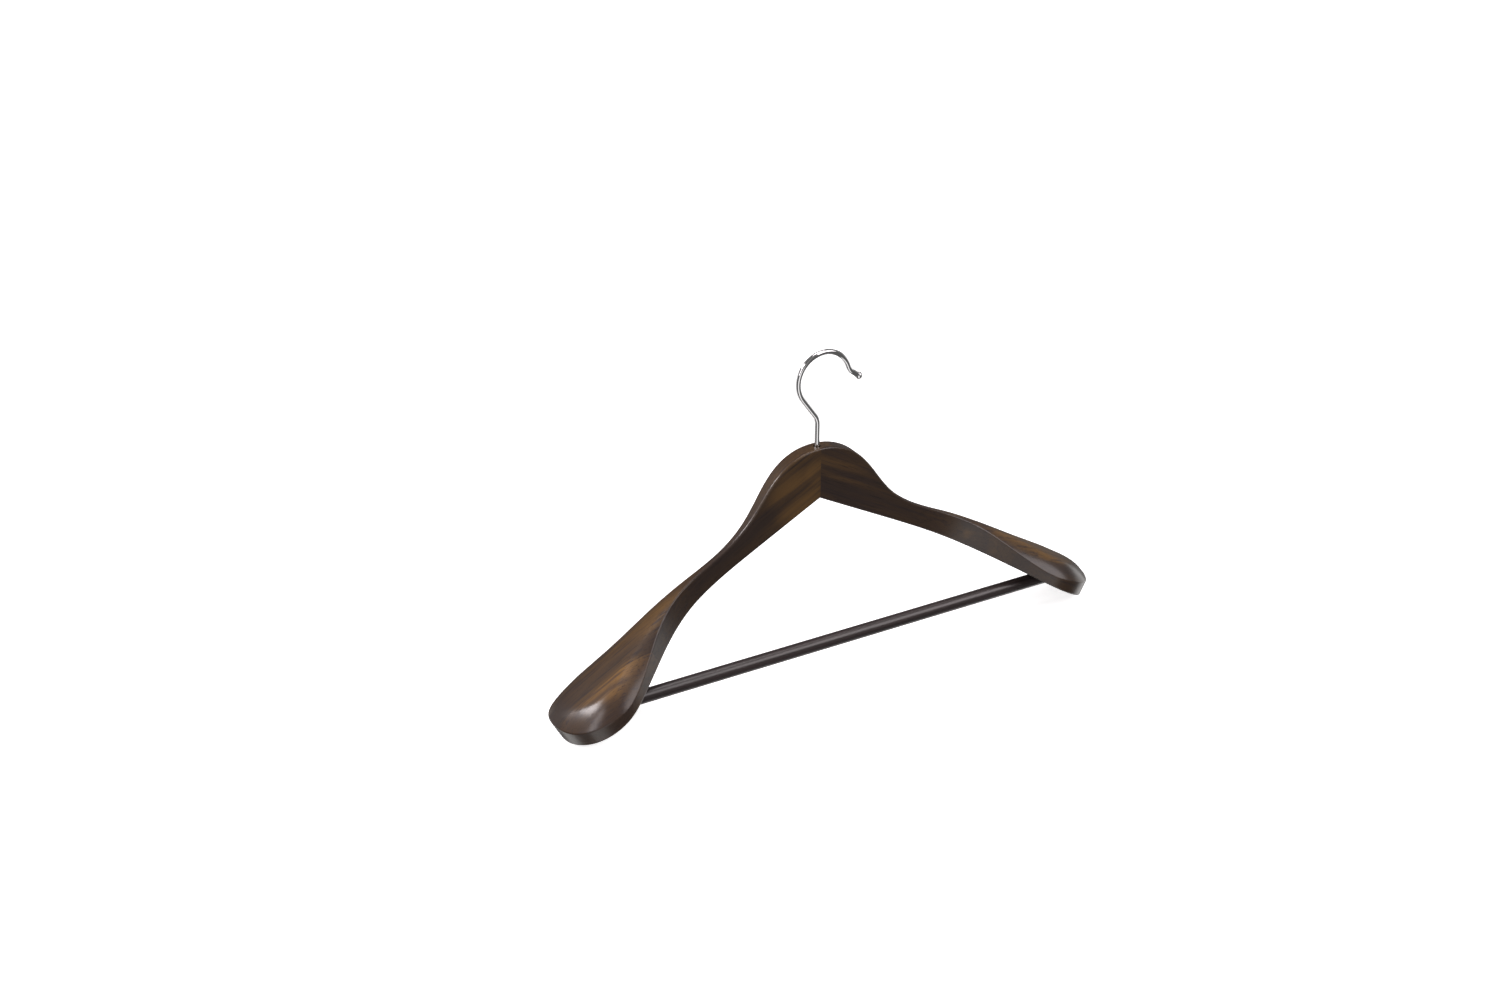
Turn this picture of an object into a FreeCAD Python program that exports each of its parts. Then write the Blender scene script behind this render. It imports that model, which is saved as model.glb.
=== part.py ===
"""Wide-shoulder wooden suit hanger with a swivelling wire hook and a trouser bar.

Frame: +X to the hanger's right, +Y to its back, +Z up, in millimetres.
The origin is where the swivel axis meets the inner side of the hook, the seat of the rail.
"""
import FreeCAD, Part
import math
import os
import Sketcher
from FreeCAD import Placement, Rotation, Vector

doc = FreeCAD.newDocument("suit_hanger")

# ---------------------------------------------------------------- driving dimensions
DRIVING = {
    "neck_thickness": 12.0,        # the wood at the neck, front to back
    "apex_drop": 105.0,            # from the rail seat down to the top of the vee
    "pad_drop": 9.5,               # how far the pad's top rolls down to its crease
    "pad_roll": 16.0,              # how wide that roll is
    "edge_round": 1.3,             # sanded edges
    "pad_edge_round": 5.0,         # what the lower edge grows to at the shoulder's end
    "arm_slope": 28.0,             # the walls stand square to this slope
    "glue_line_y": -36.0,          # the plane between an arm and its shoulder block
    "tongue_length": 15.0,
    "tongue_thickness": 8.0,
    "wire_diameter": 3.8,
    "ball_diameter": 5.4,
    "hook_radius": 20.4,           # centre line of the big bend
    "hook_offset": 4.7,            # the big bend's centre, beside the swivel axis
    "hook_centre_drop": 17.9,      # and below the origin
    "slant_angle": 35.5,           # the leaning run between shank and big bend
    "shank_bend": 12.0,
    "tip_bend": 10.0,
    "flare_start": 18.0,           # where the big bend hands over to the tip bend
    "tip_angle": 38.0,             # below the horizontal
    "tip_run": 7.0,
    "shank_end_drop": 103.2,       # the threaded end, inside the counterbore
    "sleeve_diameter": 5.2,
    "sleeve_bore": 3.92,
    "sleeve_length": 29.0,
    "sleeve_end_drop": 98.0,
    "counterbore": 10.0,
    "washer_diameter": 8.8,
    "washer_bore": 3.9,
    "washer_thickness": 1.0,
    "washer_play": 0.3,
    "nut_corners": 8.1,
    "nut_thickness": 3.2,
    "bar_diameter": 10.0,
    "bar_length": 410.0,
    "bar_y": -34.0,
    "bar_drop": 206.2,
    "bar_bevel": 1.0,
    "socket_play": 0.5,            # glue room past each end of the bar
    "brad_x": 201.5,
    "brad_diameter": 1.6,
    "brad_head": 3.0,
    "brad_head_height": 0.8,
    "brad_length": 12.5,
    "brad_head_drop": 215.6,
    "cutter_run": 20.0,            # how far the hole cutters run out of the wood
}

dims = doc.addObject("Spreadsheet::Sheet", "dims")
for row, (alias, value) in enumerate(DRIVING.items(), start=1):
    dims.set(f"A{row}", alias)
    dims.set(f"B{row}", str(value))
    dims.setAlias(f"B{row}", alias)
doc.recompute()


def size(alias):
    """A driving dimension, read back from the sheet."""
    return float(dims.get(alias))


# ---------------------------------------------------------------- helpers
def bind(item, **expressions):
    """Bind properties of an object to expressions on the sheet."""
    for name, expression in expressions.items():
        item.setExpression(name.replace("__", "."), expression)


def primitive(kind, name, **expressions):
    """A Part primitive with its sizes and place bound to the sheet."""
    item = doc.addObject(kind, name)
    bind(item, **expressions)
    return item


def boolean(kind, name, base, tool):
    item = doc.addObject(kind, name)
    item.Base = base
    item.Tool = tool
    return item


def origin_plane(body, role):
    return next(plane for plane in body.Origin.OriginFeatures if plane.Role == role)


def new_body(name):
    body = doc.addObject("PartDesign::Body", name)
    body.Label = name
    return body


def new_sketch(body, name, role):
    sketch = body.newObject("Sketcher::SketchObject", name)
    sketch.AttachmentSupport = [(origin_plane(body, role), "")]
    sketch.MapMode = "FlatFace"
    return sketch


def drive(sketch, name, expression, *constraint):
    """Add a dimension to a sketch and bind it to the sheet."""
    index = sketch.addConstraint(Sketcher.Constraint(*constraint))
    sketch.renameConstraint(index, name)
    sketch.setExpression(f"Constraints.{name}", expression)


def ring(name, outer, inner, height, bottom):
    """A round piece with a through hole, standing on the height `bottom`."""
    body = new_body(name)
    disc = body.newObject("PartDesign::AdditiveCylinder", f"{name}_disc")
    bind(disc, Radius=f"{outer} / 2", Height=height)
    hole = body.newObject("PartDesign::SubtractiveCylinder", f"{name}_hole")
    bind(hole, Radius=f"{inner} / 2", Height=height)
    bind(body, Placement__Base__z=bottom)
    return body


# ---------------------------------------------------------------- wooden stock
# Seen from the front: (x, height above the top of the vee).
CREST = [(0, 37.8), (12, 36.4), (28, 29.0), (43, 13.4), (58, -6.8), (74, -21.0),
         (100, -35.0), (130, -49.0), (160, -65.2), (190, -82.5), (228, -105.5)]
UNDERSIDE = [(-30, 15.0), (30, -16.8), (90, -48.6), (170, -93.2), (228, -129.0)]
# Seen from above, along the crease: (x, distance in front of (-) or behind (+) the hook's plane).
FRONT = [(-30, -6.0), (10, -6.0), (60, -6.2), (90, -7.4), (110, -11.4), (130, -21.2),
         (150, -36.2), (170, -52.2), (187, -61.2), (204, -58.6), (217, -46.0), (222, -28.0)]
BACK = [(-30, 6.0), (10, 5.8), (35, 3.6), (60, 0.6), (95, -2.4), (130, -4.6), (170, -7.2),
        (200, -8.0), (214, -11.5), (222, -28.0)]
INNER, REACH = -30.0, 228.0        # the stock runs past the middle and past the shoulder's end
CREASE_HEIGHT = 13.7               # of the crease's sloping plane over the vee, at the middle
ROLL_FROM, ROLL_TO = 105.0, 172.0  # where the pad's rolled edge grows to its full size
ROLL_AT_NECK = 4.0                 # the roll's width before it grows
ROLL_POWER = 1.8                   # how steeply it falls towards the crease
SPINE_Y, SPINE_LEAN = 19.0, -0.27  # the pad's highest line, from above: y = 19 - 0.27 x
SIDE_START, SIDE_WIDTH = -14.0, 34.0   # from the spine to the back the roll
BACK_ROLL, BACK_DROP = 0.45, 0.7       # loses these shares of its width and its depth
BOW, BOW_WIDTH = 1.6, 28.0         # the pad's gentle arch across, this low at this distance
WALL_REACH = 70.0                  # the leaning walls, up and down from the crease
BLANK = 300.0                      # a box or a drop that clears the whole hanger
LONG_RIM = 200.0                   # only the two long rims on each side are longer
GRID_STEP_X, GRID_STEP_Y = 6.0, 2.5
GRID_FRONT, GRID_BACK = -72.0, 18.0


def smooth_curve(points, start, end):
    """A smooth curve through a few points, with the given end directions."""
    curve = Part.BSplineCurve()
    curve.interpolate(Points=points, InitialTangent=start, FinalTangent=end)
    return curve


def ease(value):
    """0 below 0, 1 above 1, and a smooth step between."""
    value = min(max(value, 0.0), 1.0)
    return value * value * (3.0 - 2.0 * value)


def plan_outline():
    """The arm's outline from above, closed across the stock's inner end."""
    outward = Vector(1, 0, 0)
    front = smooth_curve([Vector(x, y, 0) for x, y in FRONT], outward, Vector(0, 1, 0))
    back = smooth_curve([Vector(x, y, 0) for x, y in BACK], outward, Vector(0, -1, 0))
    inner = Part.makeLine(back.StartPoint, front.StartPoint)
    return Part.Wire(Part.sortEdges([front.toShape(), back.toShape(), inner])[0])


def leaning_column(outline, apex):
    """The outline laid along the arm's slope and pulled out square to it."""
    slope = math.radians(size("arm_slope"))
    lay = FreeCAD.Matrix()
    lay.A31 = -math.tan(slope)
    lay.A34 = apex + CREASE_HEIGHT
    square = Vector(math.sin(slope), 0, math.cos(slope))
    face = Part.Face(outline.transformGeometry(lay))
    face.translate(square * -WALL_REACH)
    return face.extrude(square * 2 * WALL_REACH)


def top_surface(outline, apex):
    """Heights over a grid: the crest, less the roll towards the pad's front and end."""
    pad_roll, pad_drop = size("pad_roll"), size("pad_drop")
    start = Vector(1, 0, 0)
    end = Vector(CREST[-1][0] - CREST[-2][0], 0, CREST[-1][1] - CREST[-2][1]).normalize()
    crest = smooth_curve([Vector(x, 0, apex + height) for x, height in CREST], start, end)
    region = Part.Face(outline)
    rim = Part.Compound([edge for edge in outline.Edges if edge.Length > LONG_RIM])

    def height(x, y):
        place = Vector(x, y, 0)
        level = crest.intersectCC(Part.Line(Vector(abs(x), 0, 0), Vector(abs(x), 0, 1)))[0].Z
        growth = ease((x - ROLL_FROM) / (ROLL_TO - ROLL_FROM))
        if growth == 0.0:
            return level
        inside = 1 if region.isInside(place, 1e-6, True) else -1
        depth = inside * rim.distToShape(Part.Vertex(place))[0]
        aside = y - SPINE_Y - SPINE_LEAN * x
        back = ease((aside - SIDE_START) / SIDE_WIDTH)
        roll = ROLL_AT_NECK + (pad_roll - ROLL_AT_NECK) * growth * (1.0 - BACK_ROLL * back)
        drop = pad_drop * growth * (1.0 - BACK_DROP * back)
        bow = BOW * growth * (aside / BOW_WIDTH) ** 2
        return level - bow - drop * max(1.0 - depth / roll, 0.0) ** ROLL_POWER

    columns = int((REACH - INNER) / GRID_STEP_X) + 1
    rows = int((GRID_BACK - GRID_FRONT) / GRID_STEP_Y) + 1
    xs = [INNER + i * GRID_STEP_X for i in range(columns)]
    ys = [GRID_FRONT + j * GRID_STEP_Y for j in range(rows)]
    surface = Part.BSplineSurface()
    surface.interpolate([[Vector(x, y, height(x, y)) for y in ys] for x in xs])
    return surface.toShape()


def above_underside(apex):
    """Everything above the arm's underside, as seen from the front."""
    points = [Vector(x, GRID_FRONT, apex + height) for x, height in UNDERSIDE]
    first = (points[1] - points[0]).normalize()
    last = (points[-1] - points[-2]).normalize()
    rise = smooth_curve(points, first, last).toShape()
    roof = apex + WALL_REACH
    rest = Part.makePolygon([points[-1], Vector(REACH, GRID_FRONT, roof),
                             Vector(INNER, GRID_FRONT, roof), points[0]])
    face = Part.Face(Part.Wire([rise] + rest.Edges))
    return face.extrude(Vector(0, GRID_BACK - GRID_FRONT, 0))


def arm_stock():
    """The right half of the hanger's wood in one piece, with its edges sanded round."""
    apex = -size("apex_drop")
    outline = plan_outline()
    below_top = top_surface(outline, apex).extrude(Vector(0, 0, -BLANK))
    return leaning_column(outline, apex).common(below_top).common(above_underside(apex)).Solids[0]


def sanded(square):
    """Rounds the long rims: the upper ones evenly, the lower ones more and more to the end."""
    even, grown = size("edge_round"), size("pad_edge_round")
    halfway = -size("apex_drop") + CREASE_HEIGHT
    rounded = doc.addObject("Part::Fillet", "stock_sanded")
    rounded.Base = square
    rims = []
    for number, edge in enumerate(square.Shape.Edges, start=1):
        if edge.Length < LONG_RIM:
            continue
        first, last = edge.Vertexes[0].Point, edge.Vertexes[-1].Point
        at_end = grown if max(first.z, last.z) < halfway else even
        rims.append((number, even, at_end) if first.x < last.x else (number, at_end, even))
    rounded.Edges = rims
    return rounded


stock_square = doc.addObject("Part::Feature", "stock_square")
stock_square.Shape = arm_stock()
stock_sanded = sanded(stock_square)
past_middle = doc.addObject("Part::Box", "past_middle")
past_middle.Length = past_middle.Width = past_middle.Height = BLANK
past_middle.Placement.Base = Vector(-BLANK, -BLANK / 2, -BLANK)
stock_right = boolean("Part::Cut", "stock_right", stock_sanded, past_middle)
stock_left = doc.addObject("Part::Mirroring", "stock_left")
stock_left.Source = stock_right
stock_left.Normal = Vector(1, 0, 0)


# ---------------------------------------------------------------- cutters for the joinery
def bore(name, diameter, bottom, height, x="0", y="0"):
    """An upright round cutter."""
    return primitive("Part::Cylinder", name, Radius=f"{diameter} / 2", Height=height,
                     Placement__Base__x=x, Placement__Base__y=y, Placement__Base__z=bottom)


behind_glue = primitive("Part::Box", "behind_glue", Placement__Base__y="dims.glue_line_y")
behind_glue.Length = 2 * BLANK
behind_glue.Width = behind_glue.Height = BLANK
behind_glue.Placement.Base = Vector(-BLANK, size("glue_line_y"), -BLANK)

tongue_box = primitive("Part::Box", "tongue_box", Length="dims.tongue_length",
                       Width="dims.tongue_thickness", Height="2 * dims.apex_drop",
                       Placement__Base__y="-dims.tongue_thickness / 2",
                       Placement__Base__z="-2 * dims.apex_drop")

sleeve_bore = bore("sleeve_bore", "dims.sleeve_diameter", "-dims.apex_drop", "dims.apex_drop")
counterbore = bore("counterbore", "dims.counterbore", "-dims.sleeve_end_drop - dims.cutter_run",
                   "dims.cutter_run")

socket = primitive("Part::Cylinder", "socket", Radius="dims.bar_diameter / 2",
                   Height="dims.bar_length + 2 * dims.socket_play",
                   Placement__Base__x="-dims.bar_length / 2 - dims.socket_play",
                   Placement__Base__y="dims.bar_y", Placement__Base__z="-dims.bar_drop")
socket.Placement.Rotation = Rotation(Vector(0, 1, 0), 90)

brad_cutters = []
for side, sign in (("left", "-"), ("right", "")):
    place = {"x": f"{sign}dims.brad_x", "y": "dims.bar_y"}
    brad_cutters.append(bore(f"brad_hole_{side}", "dims.brad_diameter",
                             "-dims.brad_head_drop", "dims.brad_length", **place))
    brad_cutters.append(bore(f"brad_head_hole_{side}", "dims.brad_head",
                             "-dims.brad_head_drop - dims.cutter_run",
                             "dims.cutter_run + dims.brad_head_height", **place))

wood_cutters = doc.addObject("Part::MultiFuse", "wood_cutters")
wood_cutters.Shapes = [sleeve_bore, counterbore, socket] + brad_cutters

# ---------------------------------------------------------------- wooden pieces
rear_left = boolean("Part::Common", "rear_left", stock_left, behind_glue)
rear_right = boolean("Part::Common", "rear_right", stock_right, behind_glue)
tongue = boolean("Part::Common", "tongue", stock_right, tongue_box)
left_with_tongue = boolean("Part::Fuse", "left_with_tongue", rear_left, tongue)
right_with_slot = boolean("Part::Cut", "right_with_slot", rear_right, tongue_box)
front_left = boolean("Part::Cut", "front_left", stock_left, behind_glue)
front_right = boolean("Part::Cut", "front_right", stock_right, behind_glue)

PIECES = [boolean("Part::Cut", name, wood, wood_cutters) for name, wood in (
    ("left_arm", left_with_tongue), ("right_arm", right_with_slot),
    ("left_shoulder_block", front_left), ("right_shoulder_block", front_right))]

# ---------------------------------------------------------------- trouser bar and its brads
bar_blank = new_body("bar_blank")
bar_section = new_sketch(bar_blank, "bar_section", "YZ_Plane")
bar_section.addGeometry(Part.Circle(Vector(0, 0, 0), Vector(0, 0, 1), size("bar_diameter") / 2))
bar_section.addConstraint(Sketcher.Constraint("Coincident", 0, 3, -1, 1))
drive(bar_section, "diameter", "dims.bar_diameter", "Diameter", 0, size("bar_diameter"))
bar_pad = bar_blank.newObject("PartDesign::Pad", "bar_pad")
bar_pad.Profile = bar_section
bar_pad.Midplane = True
bind(bar_pad, Length="dims.bar_length")
doc.recompute()
bar_ends = bar_blank.newObject("PartDesign::Chamfer", "bar_ends")
bar_ends.Base = (bar_pad, [f"Edge{number}" for number, edge in enumerate(bar_pad.Shape.Edges, start=1)
                           if isinstance(edge.Curve, Part.Circle)])
bind(bar_ends, Size="dims.bar_bevel")
bind(bar_blank, Placement__Base__y="dims.bar_y", Placement__Base__z="-dims.bar_drop")

bar_holes = doc.addObject("Part::MultiFuse", "bar_holes")
bar_holes.Shapes = [brad_cutters[0], brad_cutters[2]]
PIECES.append(boolean("Part::Cut", "trouser_bar", bar_blank, bar_holes))

brad_shank = bore("brad_shank", "dims.brad_diameter", "-dims.brad_head_drop", "dims.brad_length",
                  x="dims.brad_x", y="dims.bar_y")
brad_head = bore("brad_head", "dims.brad_head", "-dims.brad_head_drop", "dims.brad_head_height",
                 x="dims.brad_x", y="dims.bar_y")
brad_right = boolean("Part::Fuse", "brad_right", brad_shank, brad_head)
brad_left = doc.addObject("Part::Mirroring", "brad_left")
brad_left.Source = brad_right
brad_left.Normal = Vector(1, 0, 0)
bar_brads = doc.addObject("Part::Compound", "bar_brads")
bar_brads.Links = [brad_left, brad_right]
PIECES.append(bar_brads)


# ---------------------------------------------------------------- hook
def hook_line(sketch):
    """The wire's centre line: shank, bend, leaning run, big bend, tip bend and tip run.

    The elements are laid out from the driving sizes, then tied end to end as tangents.
    """
    slant = math.radians(size("slant_angle"))
    tip = math.radians(size("tip_angle"))
    big, small, shank = size("hook_radius"), size("tip_bend"), size("shank_bend")
    centre = Vector(size("hook_offset"), -size("hook_centre_drop"), 0)
    up = Vector(0, 0, 1)

    leave = centre + Vector(-big * math.cos(slant), -big * math.sin(slant), 0)
    lean = Vector(-math.sin(slant), math.cos(slant), 0)
    corner = leave + lean * (leave.x / math.sin(slant))
    setback = shank * math.tan(slant / 2)
    bend_top = corner + lean * setback
    bend_bottom = corner - Vector(0, setback, 0)
    bottom = Vector(0, -size("shank_end_drop"), 0)

    handover = math.radians(size("flare_start"))
    outward = Vector(math.cos(handover), math.sin(handover), 0)
    flare = centre + outward * (big + small)
    tip_start = flare - Vector(small * math.sin(tip), small * math.cos(tip), 0)
    tip_end = tip_start + Vector(math.cos(tip), -math.sin(tip), 0) * size("tip_run")

    bend_centre = bend_bottom - Vector(shank, 0, 0)
    lower = 3 * math.pi / 2 - tip
    sketch.addGeometry([
        Part.LineSegment(bottom, bend_bottom),
        Part.ArcOfCircle(Part.Circle(bend_centre, up, shank), 0, slant),
        Part.LineSegment(bend_top, leave),
        Part.ArcOfCircle(Part.Circle(centre, up, big), handover, math.pi + slant),
        Part.ArcOfCircle(Part.Circle(flare, up, small), math.pi + handover, lower),
        Part.LineSegment(tip_start, tip_end)])
    joined = [(0, 2, 1, 1), (1, 2, 2, 1), (2, 2, 3, 2), (3, 1, 4, 1), (4, 2, 5, 1)]
    for first, first_end, second, second_end in joined:
        sketch.addConstraint(Sketcher.Constraint("Tangent", first, first_end, second, second_end))
    sketch.addConstraint(Sketcher.Constraint("PointOnObject", 0, 1, -2))
    sketch.addConstraint(Sketcher.Constraint("Vertical", 0))
    drive(sketch, "shank_end", "dims.shank_end_drop", "DistanceY", 0, 1, -1, 1, size("shank_end_drop"))
    drive(sketch, "bend_radius", "dims.shank_bend", "Radius", 1, shank)
    drive(sketch, "hook_radius", "dims.hook_radius", "Radius", 3, big)
    drive(sketch, "hook_offset", "dims.hook_offset", "DistanceX", -1, 1, 3, 3, size("hook_offset"))
    drive(sketch, "hook_drop", "dims.hook_centre_drop", "DistanceY", 3, 3, -1, 1,
          size("hook_centre_drop"))
    drive(sketch, "tip_radius", "dims.tip_bend", "Radius", 4, small)
    drive(sketch, "tip_run", "dims.tip_run", "Distance", 5, size("tip_run"))
    return tip_end


hook = new_body("hook")
wire_line = new_sketch(hook, "wire_line", "XZ_Plane")
ball_centre = hook_line(wire_line)
wire_section = new_sketch(hook, "wire_section", "XY_Plane")
wire_section.addGeometry(Part.Circle(Vector(0, 0, 0), Vector(0, 0, 1), size("wire_diameter") / 2))
wire_section.addConstraint(Sketcher.Constraint("Coincident", 0, 3, -1, 1))
drive(wire_section, "diameter", "dims.wire_diameter", "Diameter", 0, size("wire_diameter"))
bind(wire_section, AttachmentOffset__Base__z="-dims.shank_end_drop")
doc.recompute()
wire = hook.newObject("PartDesign::AdditivePipe", "wire")
wire.Profile = wire_section
wire.Spine = wire_line
doc.recompute()
ball = hook.newObject("PartDesign::AdditiveSphere", "ball")
bind(ball, Radius="dims.ball_diameter / 2")
ball.Placement = Placement(Vector(ball_centre.x, 0, ball_centre.y), Rotation())
PIECES.append(hook)

# ---------------------------------------------------------------- hook fittings
PIECES.append(ring("hook_sleeve", "dims.sleeve_diameter", "dims.sleeve_bore", "dims.sleeve_length",
                   "-dims.sleeve_end_drop"))
WASHER_BOTTOM = "-dims.sleeve_end_drop - dims.washer_play - dims.washer_thickness"
PIECES.append(ring("hook_washer", "dims.washer_diameter", "dims.washer_bore",
                   "dims.washer_thickness", WASHER_BOTTOM))

hook_nut = new_body("hook_nut")
nut_block = hook_nut.newObject("PartDesign::AdditivePrism", "nut_block")
nut_block.Polygon = 6
bind(nut_block, Circumradius="dims.nut_corners / 2", Height="dims.nut_thickness")
nut_bore = hook_nut.newObject("PartDesign::SubtractiveCylinder", "nut_bore")
bind(nut_bore, Radius="dims.wire_diameter / 2", Height="dims.nut_thickness")
bind(hook_nut, Placement__Base__z=f"{WASHER_BOTTOM} - dims.nut_thickness")
PIECES.append(hook_nut)

# ---------------------------------------------------------------- checks and files
doc.recompute()
for item in doc.Objects:
    if "Invalid" in item.State or "Error" in item.State:
        raise RuntimeError(f"{item.Name} did not compute: {item.State}")
for piece in PIECES:
    if piece.Shape.isNull() or not piece.Shape.isValid():
        raise RuntimeError(f"{piece.Label} has no valid shape")

os.makedirs("parts", exist_ok=True)
for piece in PIECES:
    piece.Shape.exportStep(f"parts/{piece.Label}.step")
    box = piece.Shape.BoundBox
    print(piece.Label, len(piece.Shape.Solids), "solid", round(piece.Shape.Volume), "mm3",
          [round(value, 1) for value in (box.XMin, box.XMax, box.YMin, box.YMax, box.ZMin, box.ZMax)])
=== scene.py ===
"""Looks of a wide-shoulder wooden suit hanger with a swivelling chrome hook.

Metres, +Z up. The origin is the rail's seat inside the hook; the shoulders hang below it.
"""
import math

import bpy
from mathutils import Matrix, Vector


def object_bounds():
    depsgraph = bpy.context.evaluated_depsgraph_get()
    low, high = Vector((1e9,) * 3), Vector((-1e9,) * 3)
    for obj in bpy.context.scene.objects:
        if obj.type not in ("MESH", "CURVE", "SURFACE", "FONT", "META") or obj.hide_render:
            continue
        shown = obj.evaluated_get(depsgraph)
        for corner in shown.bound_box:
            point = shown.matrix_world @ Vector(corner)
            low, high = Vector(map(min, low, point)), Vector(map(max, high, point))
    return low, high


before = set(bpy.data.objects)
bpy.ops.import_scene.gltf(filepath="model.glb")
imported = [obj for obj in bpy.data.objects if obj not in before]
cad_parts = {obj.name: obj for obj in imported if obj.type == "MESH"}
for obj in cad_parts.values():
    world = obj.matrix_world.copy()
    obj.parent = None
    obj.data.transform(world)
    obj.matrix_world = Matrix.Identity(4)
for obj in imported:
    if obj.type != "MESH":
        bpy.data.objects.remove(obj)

bl_info = {
    "name": "Suit Hanger",
    "version": (1, 0, 0),
    "blender": (4, 5, 0),
    "location": "View3D > Sidebar > Hanger",
    "description": "Stained wooden suit hanger with a chrome hook, on a white studio floor",
    "category": "Object",
}

CAD_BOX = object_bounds()
MIX_INPUTS, MIX_RESULT = (0, 6, 7), 2   # a Mix node's factor and two colours; its colour out

# Wood. CELLS are noise cells in a metre, along x, y and z of the turned grain.
ARM_SLOPE = math.radians(29.0)          # how steeply the grain falls along a shoulder
SEED_SKEW = 0.37                        # how far a seed also moves the grain sideways
FIGURE_CELLS = (7, 70, 70)
STREAK_CELLS = (11, 420, 420)
PORE_CELLS = (60, 1900, 1900)
HEART_START = (0.085, 0.150)            # the lighter heart fades in, metres from the middle
HEART_END = (0.222, 0.196)              # and has faded out again at the shoulder's end
HEART_TOP_LIGHT_FACES = (0.74, 0.96)              # painted top light: the heart shows on faces that look up this far, with painted shade on faces turning away
NECK_HEART = (0.07, 0.0)                # it fades in again towards the neck's seam
PORE_COLOUR = (0.010, 0.006, 0.004)
WOOD_BUMP = 0.00006                     # depth of the grain, metres

# Each blank: side (-1 left, 1 right), tone, warmth and seed of its grain.
BLANKS = {
    "left_arm": (-1, 0.90, 1.0, 0.13),
    "right_arm": (1, 0.98, 1.0, 0.71),
    "left_shoulder_block": (-1, 1.15, 1.02, 0.42),
    "right_shoulder_block": (1, 0.9, 1.0, 0.95),
}
# Lighter spots of the stain: (x, z) of the middle, radius and strength.
LIGHT_SPOTS = {
    "left_arm": (((-0.003, -0.085), 0.012, 0.5), ((-0.020, -0.100), 0.026, 0.5)),
    "right_arm": (((0.126, -0.163), 0.009, 0.6), ((0.136, -0.170), 0.007, 0.45)),
}

# Trouser bar
BAR_GRAIN_CELLS = (12, 700, 700)
BAR_CLOUD_CELLS = (30, 60, 60)
BAR_PORE_COLOUR = (0.014, 0.010, 0.009)
BAR_CLOUD_COLOUR = (0.05, 0.036, 0.034)
BAR_BUMP = 0.00005

# Metal
SMEAR_CELLS = (80, 80, 80)
DRAWING_CELLS = (1500, 1500, 200)       # fine drawing lines of the wire
DRAWING_BUMP = 0.000004
SPANGLE_CELLS = (900, 900, 900)
ZINC_COLOURS = ((0.42, 0.41, 0.38), (0.62, 0.62, 0.60))

# Studio
FLOOR_CELLS = (3, 3, 3)
FLOOR_WHITES = ((0.93, 0.93, 0.93), (0.95, 0.95, 0.95))
FLOOR_GLOWS = ((0.78, 0.78, 0.78), (1.0, 1.0, 1.0))  # below the hanger and far out
GLOW_REACH = (0.25, 1.6)                # where the first glow turns into the second, metres
ROOM_COLOUR = (1.0, 0.985, 0.975)
ROOM_GLOW, PANEL_GLOW = 0.12, 0.12      # strength of the walls, and what a panel adds
PANEL_COUNT, PANEL_TURN = 3.0, 1.2      # pale panels round the room; phase in radians
PANEL_EDGES = (0.15, 0.75)              # a panel's soft edges, on the sine of the bearing
PANEL_FOOT = (0.25, -0.05)              # a panel brightens downwards; z of the direction
LAMP_COLOUR = (1.0, 0.94, 0.955)
LAMP_AIM = Vector((0, 0, -0.13))        # near the middle of the hanger
LAMPS = {                               # place, width and height, watts
    "rear_left_softbox": ((-1.25, 0.50, 0.95), (0.7, 0.35), 15),
    "front_right_softbox": ((0.9, -1.1, 1.1), (1.4, 1.0), 14),
    "left_softbox": ((-1.8, -0.5, 0.9), (0.4, 1.4), 9),
    "overhead_softbox": ((0.3, 0.3, 1.9), (1.4, 0.9), 14),
}
CAMERA_FACING = Vector((0.4326, 0.7762, -0.4587))
SENSOR_WIDTH = 36.0                     # millimetres


# ---------------------------------------------------------------- settings
class HangerWoodSettings(bpy.types.PropertyGroup):
    # Heart: lighter stain in the middle of the shoulders, also painted as top light on faces
    # that look up.
    heart_and_top_light_colour: bpy.props.FloatVectorProperty(
        name="Heart", description="Lighter walnut stain in the middle of the shoulders",
        subtype="COLOR", size=3, min=0, max=1, default=(0.180, 0.094, 0.026))
    field_colour: bpy.props.FloatVectorProperty(
        name="Field", description="Walnut stain of the neck and arms",
        subtype="COLOR", size=3, min=0, max=1, default=(0.056, 0.031, 0.0165))
    streak_colour: bpy.props.FloatVectorProperty(
        name="Streaks", description="Dark stain of the streaks and the dark figure",
        subtype="COLOR", size=3, min=0, max=1, default=(0.032, 0.0195, 0.0175))
    grain_strength: bpy.props.FloatProperty(
        name="Grain", description="How strongly the dark streaks show", subtype="FACTOR",
        min=0, max=1, default=0.75)
    gloss: bpy.props.FloatProperty(
        name="Lacquer roughness", description="Roughness of the lacquer", subtype="FACTOR",
        min=0.02, max=1, default=0.24)


class HangerBarSettings(bpy.types.PropertyGroup):
    colour: bpy.props.FloatVectorProperty(
        name="Colour", description="Dark stain of the trouser bar",
        subtype="COLOR", size=3, min=0, max=1, default=(0.042, 0.028, 0.028))


class HangerHookSettings(bpy.types.PropertyGroup):
    colour: bpy.props.FloatVectorProperty(
        name="Chrome", description="Reflection colour of the chrome",
        subtype="COLOR", size=3, min=0, max=1, default=(0.76, 0.76, 0.77))
    roughness: bpy.props.FloatProperty(
        name="Roughness", description="Polish of the chrome", subtype="FACTOR",
        min=0, max=1, default=0.06)


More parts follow.
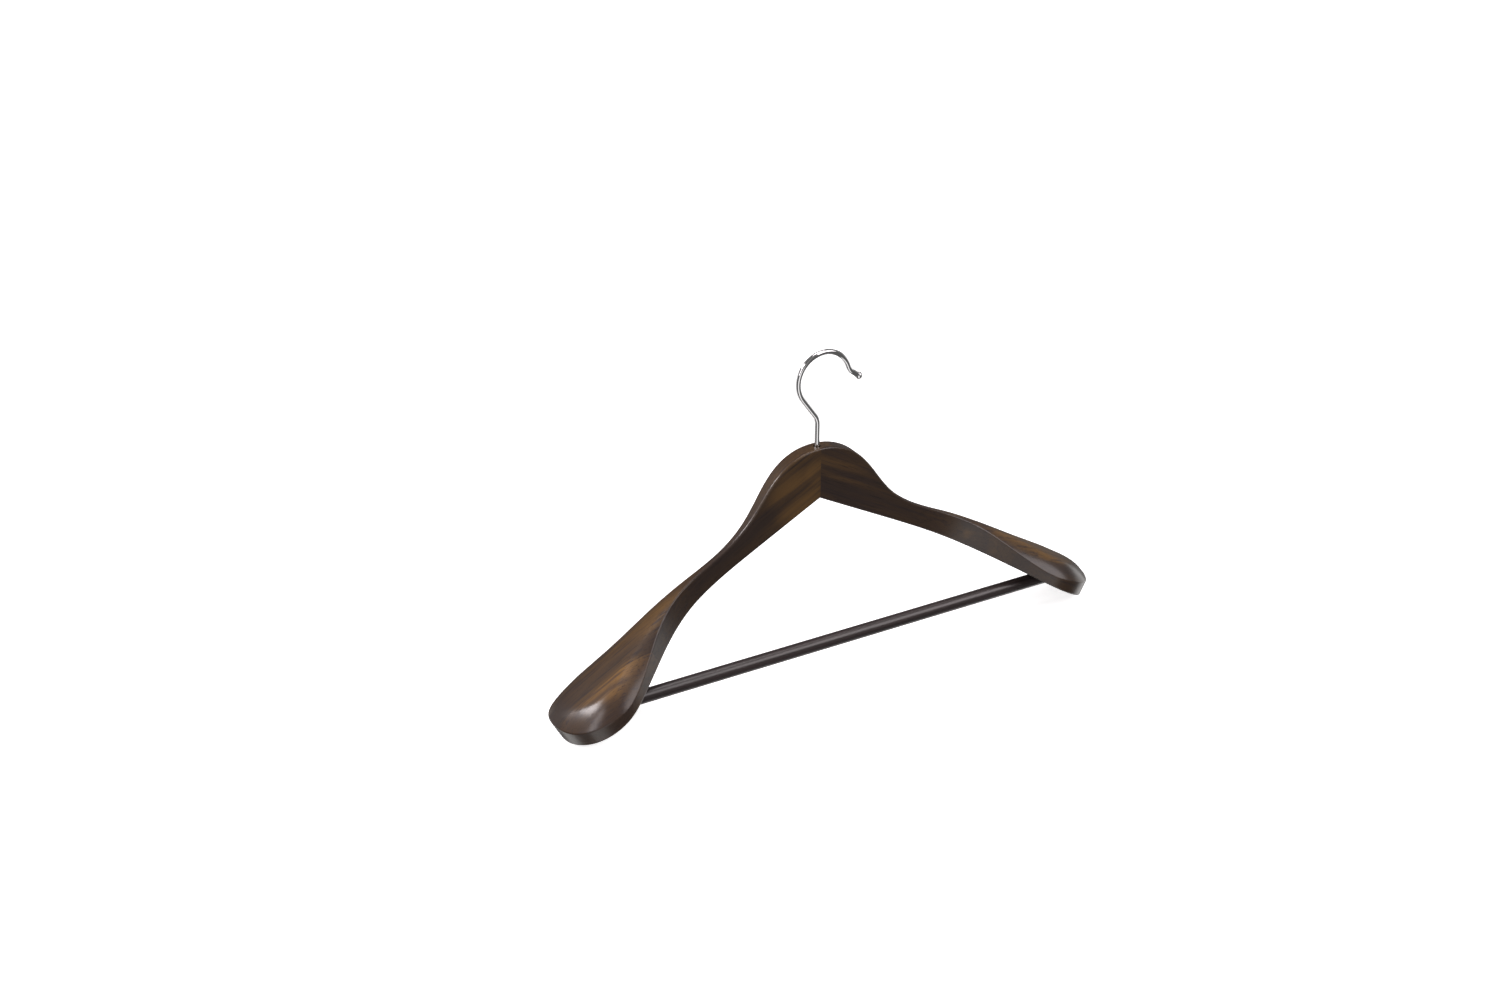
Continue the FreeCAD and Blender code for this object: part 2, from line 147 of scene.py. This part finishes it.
class HangerStageSettings(bpy.types.PropertyGroup):
    camera_place: bpy.props.FloatVectorProperty(
        name="Camera", description="Where the camera stands", subtype="TRANSLATION",
        unit="LENGTH", size=3, default=(-0.6102, -0.9988, 0.4938))
    lens: bpy.props.FloatProperty(
        name="Lens", description="Focal length in millimetres on a 36 mm sensor",
        min=20, max=200, default=44.52)
    floor_size: bpy.props.FloatProperty(
        name="Floor", description="Width of the floor", unit="LENGTH", min=2, default=200.0)


# ---------------------------------------------------------------- shader expressions
class Socket:
    """A shader value. Arithmetic on it adds Math nodes."""

    def __init__(self, shader, output):
        self.shader = shader
        self.output = output

    def math(self, operation, *values):
        return self.shader.node("ShaderNodeMath", {"operation": operation}, self, *values)

    def __add__(self, other):
        return self.math("ADD", other)

    def __radd__(self, other):
        return self + other

    def __sub__(self, other):
        return self.math("SUBTRACT", other)

    def __mul__(self, other):
        return self.math("MULTIPLY", other)

    def step(self, start, end):
        """0 up to start, 1 from end on, smooth between; end may lie below start."""
        return self.shader.node("ShaderNodeMapRange", {"interpolation_type": "SMOOTHSTEP"},
                                self, start, end, 0.0, 1.0)


class Shader:
    """The node tree of a material or a world, built with calls."""

    def __init__(self, owner, surface="Principled BSDF"):
        owner.use_nodes = True
        self.owner = owner
        self.tree = owner.node_tree
        self.surface = self.tree.nodes[surface]

    def fill(self, target, value):
        """Sets an input, or links a shader value to it."""
        if isinstance(value, Socket):
            self.tree.links.new(value.output, target)
        elif target.type == "RGBA":
            target.default_value = (*value, 1.0)[:4]
        else:
            target.default_value = value

    def fill_named(self, made, values):
        """Fills a node's inputs by name, with _ for a space."""
        for key, value in values.items():
            self.fill(made.inputs[key.replace("_", " ")], value)

    def node(self, kind, settings, *values, out=0, **named):
        """A node of a kind with its settings, and values or links for its inputs."""
        made = self.tree.nodes.new(kind)
        for key, value in settings.items():
            setattr(made, key, value)
        for target, value in zip(made.inputs, values):
            self.fill(target, value)
        self.fill_named(made, named)
        return Socket(self, made.outputs[out])

    def mix(self, factor, first, second, blend="MIX"):
        """Mixes two colours."""
        made = self.tree.nodes.new("ShaderNodeMix")
        made.data_type = "RGBA"
        made.blend_type = blend
        for index, value in zip(MIX_INPUTS, (factor, first, second)):
            self.fill(made.inputs[index], value)
        return Socket(self, made.outputs[MIX_RESULT])

    def place(self):
        """The point on the piece, in its own metres."""
        return self.node("ShaderNodeTexCoord", {}, out="Object")

    def mapped(self, place, turn=(0, 0, 0), scale=(1, 1, 1), shift=(0, 0, 0)):
        return self.node("ShaderNodeMapping", {}, place, shift, turn, scale)

    def parts(self, vector):
        """The x, y and z of a vector."""
        split = self.tree.nodes.new("ShaderNodeSeparateXYZ")
        self.fill(split.inputs[0], vector)
        return [Socket(self, output) for output in split.outputs]

    def noise(self, place, cells, detail=2.0, roughness=0.5, distortion=0.0):
        """Noise with a number of cells in a metre along x, y and z."""
        return self.node("ShaderNodeTexNoise", {}, Vector=self.mapped(place, scale=cells),
                         Scale=1.0, Detail=detail, Roughness=roughness,
                         Distortion=distortion)

    def set(self, **values):
        """Values or links for the surface's own inputs."""
        self.fill_named(self.surface, values)

    def bump(self, height, distance, strength):
        self.set(Normal=self.node("ShaderNodeBump", {}, Strength=strength,
                                  Distance=distance, Height=height))


# ---------------------------------------------------------------- materials
def walnut(name, settings, side, tone, warmth, seed, spots):
    """Walnut-stained wood under lacquer, its grain running down one shoulder, with top light
    painted onto the faces that look up.

    tone and warmth set one blank apart from another; see BLANKS and LIGHT_SPOTS.
    """
    shader = Shader(bpy.data.materials.new(name))
    place = shader.place()
    along = shader.mapped(place, turn=(0, -side * ARM_SLOPE, 0),
                          shift=(seed, seed * SEED_SKEW, 0))
    figure = shader.noise(along, FIGURE_CELLS, 4.0, 0.55, 0.5)
    streaks = shader.noise(along, STREAK_CELLS, 3.0, 0.65)
    pores = shader.noise(along, PORE_CELLS, 2.0, 0.6)
    x, _, z = shader.parts(place)
    outward = x * side
    facing_up = shader.parts(shader.node("ShaderNodeNewGeometry", {}, out="Normal"))[2]

    # The heart: lighter stain in the middle of each shoulder, shown only on faces that look
    # up. This paints top light there and shade on the faces that turn away.
    shoulder = outward.step(*HEART_START) * outward.step(*HEART_END)
    heart_stain_and_top_light = shoulder * facing_up.step(*HEART_TOP_LIGHT_FACES) * (0.6 + figure)
    neck_heart = outward.step(*NECK_HEART) * figure.step(0.42, 0.70) * 0.42
    colour = shader.mix(heart_stain_and_top_light + neck_heart, settings.field_colour, settings.heart_and_top_light_colour)
    colour = shader.mix(streaks.step(0.50, 0.66) * settings.grain_strength,
                        colour, settings.streak_colour)
    colour = shader.mix(figure.step(0.58, 0.36) * 0.6, colour, settings.streak_colour)
    colour = shader.mix(pores.step(0.56, 0.72) * 0.55, colour, PORE_COLOUR)
    colour = shader.mix(1.0, colour, (tone * warmth, tone, tone / warmth), "MULTIPLY")
    for (spot_x, spot_z), radius, strength in spots:
        across, up = x - spot_x, z - spot_z
        away = (across * across + up * up) * (1.0 / radius ** 2)
        colour = shader.mix(away.step(1.0, 0.1) * figure.step(0.35, 0.65) * strength,
                            colour, settings.heart_and_top_light_colour)
    shader.set(Base_Color=colour, Roughness=0.36 + streaks * 0.16, Specular_IOR_Level=0.25,
               Coat_Weight=0.9, Coat_Roughness=settings.gloss, Coat_IOR=1.45)
    shader.bump(pores * 0.35 + streaks * 0.65, WOOD_BUMP, 0.5)
    return shader.owner


def stained_bar(settings):
    """Dark stained dowel with fine lengthwise grain under lacquer."""
    shader = Shader(bpy.data.materials.new("stained_bar"))
    place = shader.place()
    grain = shader.noise(place, BAR_GRAIN_CELLS, 3.0, 0.6)
    cloud = shader.noise(place, BAR_CLOUD_CELLS)
    colour = shader.mix(grain.step(0.4, 0.7), settings.colour, BAR_PORE_COLOUR)
    colour = shader.mix(cloud * 0.5, colour, BAR_CLOUD_COLOUR)
    shader.set(Base_Color=colour, Roughness=0.36 + grain * 0.12, Coat_Weight=0.6,
               Coat_Roughness=0.22)
    shader.bump(grain, BAR_BUMP, 0.4)
    return shader.owner


def chrome(settings):
    """Polished chrome with faint drawing lines."""
    shader = Shader(bpy.data.materials.new("hook_chrome"))
    place = shader.place()
    smear = shader.noise(place, SMEAR_CELLS, 3.0)
    shader.set(Base_Color=settings.colour, Metallic=1.0,
               Roughness=settings.roughness + smear * 0.05)
    shader.bump(shader.noise(place, DRAWING_CELLS), DRAWING_BUMP, 0.3)
    return shader.owner


def zinc():
    """Zinc plated steel of the small fittings."""
    shader = Shader(bpy.data.materials.new("zinc_steel"))
    spangle = shader.noise(shader.place(), SPANGLE_CELLS, 3.0)
    shader.set(Base_Color=shader.mix(spangle, *ZINC_COLOURS), Metallic=1.0,
               Roughness=0.28 + spangle * 0.18)
    return shader.owner


def studio_white():
    """White of the floor, with a glow of its own that grows with the distance."""
    shader = Shader(bpy.data.materials.new("studio_white"))
    place = shader.place()
    x, y, _ = shader.parts(place)
    far = (x * x + y * y).math("SQRT").step(*GLOW_REACH)
    white = shader.mix(shader.noise(place, FLOOR_CELLS), *FLOOR_WHITES)
    shader.set(Base_Color=white, Roughness=0.9, Emission_Color=shader.mix(far, *FLOOR_GLOWS),
               Emission_Strength=1.0)
    return shader.owner


def studio_world():
    """A dim room with upright pale panels all round, for polished metal to reflect."""
    shader = Shader(bpy.data.worlds.new("studio"), "Background")
    x, y, z = shader.parts(shader.node("ShaderNodeTexCoord", {}, out="Generated"))
    bearing = y.math("ARCTAN2", x)
    panels = (bearing * PANEL_COUNT + PANEL_TURN).math("SINE").step(*PANEL_EDGES)
    foot = z.step(*PANEL_FOOT)
    shader.set(Color=ROOM_COLOUR, Strength=ROOM_GLOW + panels * (PANEL_GLOW + foot))
    return shader.owner


def paint(piece, material):
    """Gives a piece one material all over."""
    piece.data.materials.clear()
    piece.data.materials.append(material)


# ---------------------------------------------------------------- operators
class HANGER_OT_wood(bpy.types.Operator):
    """Stain and lacquer the four wooden blanks"""
    bl_idname = "hanger.wood"
    bl_label = "Wooden shoulders"

    def execute(self, context):
        for node, blank in BLANKS.items():
            paint(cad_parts[node],
                  walnut(f"{node}_walnut", context.scene.hanger_wood, *blank,
                         LIGHT_SPOTS.get(node, ())))
        return {"FINISHED"}


class HANGER_OT_bar(bpy.types.Operator):
    """Stain the trouser bar and plate its brads"""
    bl_idname = "hanger.bar"
    bl_label = "Trouser bar"

    def execute(self, context):
        paint(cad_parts["trouser_bar"], stained_bar(context.scene.hanger_bar))
        paint(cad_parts["bar_brads"], zinc())
        return {"FINISHED"}


class HANGER_OT_hook(bpy.types.Operator):
    """Polish the hook and plate its fittings"""
    bl_idname = "hanger.hook"
    bl_label = "Hook"

    def execute(self, context):
        paint(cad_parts["hook"], chrome(context.scene.hanger_hook))
        plating = zinc()
        for node in ("hook_sleeve", "hook_washer", "hook_nut"):
            paint(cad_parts[node], plating)
        return {"FINISHED"}


class HANGER_OT_stage(bpy.types.Operator):
    """Set out the floor, the studio lights and the camera"""
    bl_idname = "hanger.stage"
    bl_label = "Studio"

    def floor(self, width):
        """A floor level with the lowest point, left out of reflections and bounced light."""
        bpy.ops.object.select_all(action="DESELECT")
        bpy.ops.mesh.primitive_plane_add(size=width, location=(0, 0, CAD_BOX[0][2]))
        floor = bpy.context.object
        floor.name = "studio_floor"
        bpy.ops.object.transform_apply(location=True)
        paint(floor, studio_white())
        floor.visible_glossy = False
        floor.visible_diffuse = False

    def aimed(self, name, data, place, facing):
        """An object at a place that looks along a direction."""
        holder = bpy.data.objects.new(name, data)
        holder.location = place
        holder.rotation_euler = facing.to_track_quat("-Z", "Y").to_euler()
        bpy.context.collection.objects.link(holder)
        return holder

    def light(self, name, place, size, watts):
        lamp = bpy.data.lights.new(name, "AREA")
        lamp.shape = "RECTANGLE"
        lamp.size, lamp.size_y = size
        lamp.energy = watts
        lamp.color = LAMP_COLOUR
        self.aimed(name, lamp, place, LAMP_AIM - Vector(place))

    def camera(self, place, lens):
        camera = bpy.data.cameras.new("camera")
        camera.lens = lens
        camera.sensor_width = SENSOR_WIDTH
        return self.aimed("camera", camera, place, CAMERA_FACING)

    def execute(self, context):
        settings = context.scene.hanger_stage
        self.floor(settings.floor_size)
        for name, lamp in LAMPS.items():
            self.light(name, *lamp)
        bpy.context.scene.world = studio_world()
        bpy.context.scene.view_settings.view_transform = "Standard"
        bpy.context.scene.camera = self.camera(settings.camera_place, settings.lens)
        return {"FINISHED"}


# ---------------------------------------------------------------- panel and registration
class HANGER_PT_panel(bpy.types.Panel):
    """Buttons and settings of the hanger"""
    bl_idname = "HANGER_PT_panel"
    bl_label = "Suit hanger"
    bl_space_type = "VIEW_3D"
    bl_region_type = "UI"
    bl_category = "Hanger"

    def draw(self, context):
        for operator in OPERATORS:
            self.layout.operator(operator.bl_idname)
        for name in SETTINGS:
            group = getattr(context.scene, name)
            box = self.layout.box()
            for key in group.__annotations__:
                box.prop(group, key)


OPERATORS = (HANGER_OT_wood, HANGER_OT_bar, HANGER_OT_hook, HANGER_OT_stage)
SETTINGS = {
    "hanger_wood": HangerWoodSettings, "hanger_bar": HangerBarSettings,
    "hanger_hook": HangerHookSettings, "hanger_stage": HangerStageSettings}


def register():
    for item in (*SETTINGS.values(), *OPERATORS, HANGER_PT_panel):
        bpy.utils.register_class(item)
    for name, group in SETTINGS.items():
        setattr(bpy.types.Scene, name, bpy.props.PointerProperty(type=group))


def unregister():
    for name in SETTINGS:
        delattr(bpy.types.Scene, name)
    for item in (HANGER_PT_panel, *reversed(OPERATORS), *reversed(SETTINGS.values())):
        bpy.utils.unregister_class(item)


def main():
    register()
    bpy.ops.hanger.wood()
    bpy.ops.hanger.bar()
    bpy.ops.hanger.hook()
    bpy.ops.hanger.stage()


if __name__ == "__main__":
    main()
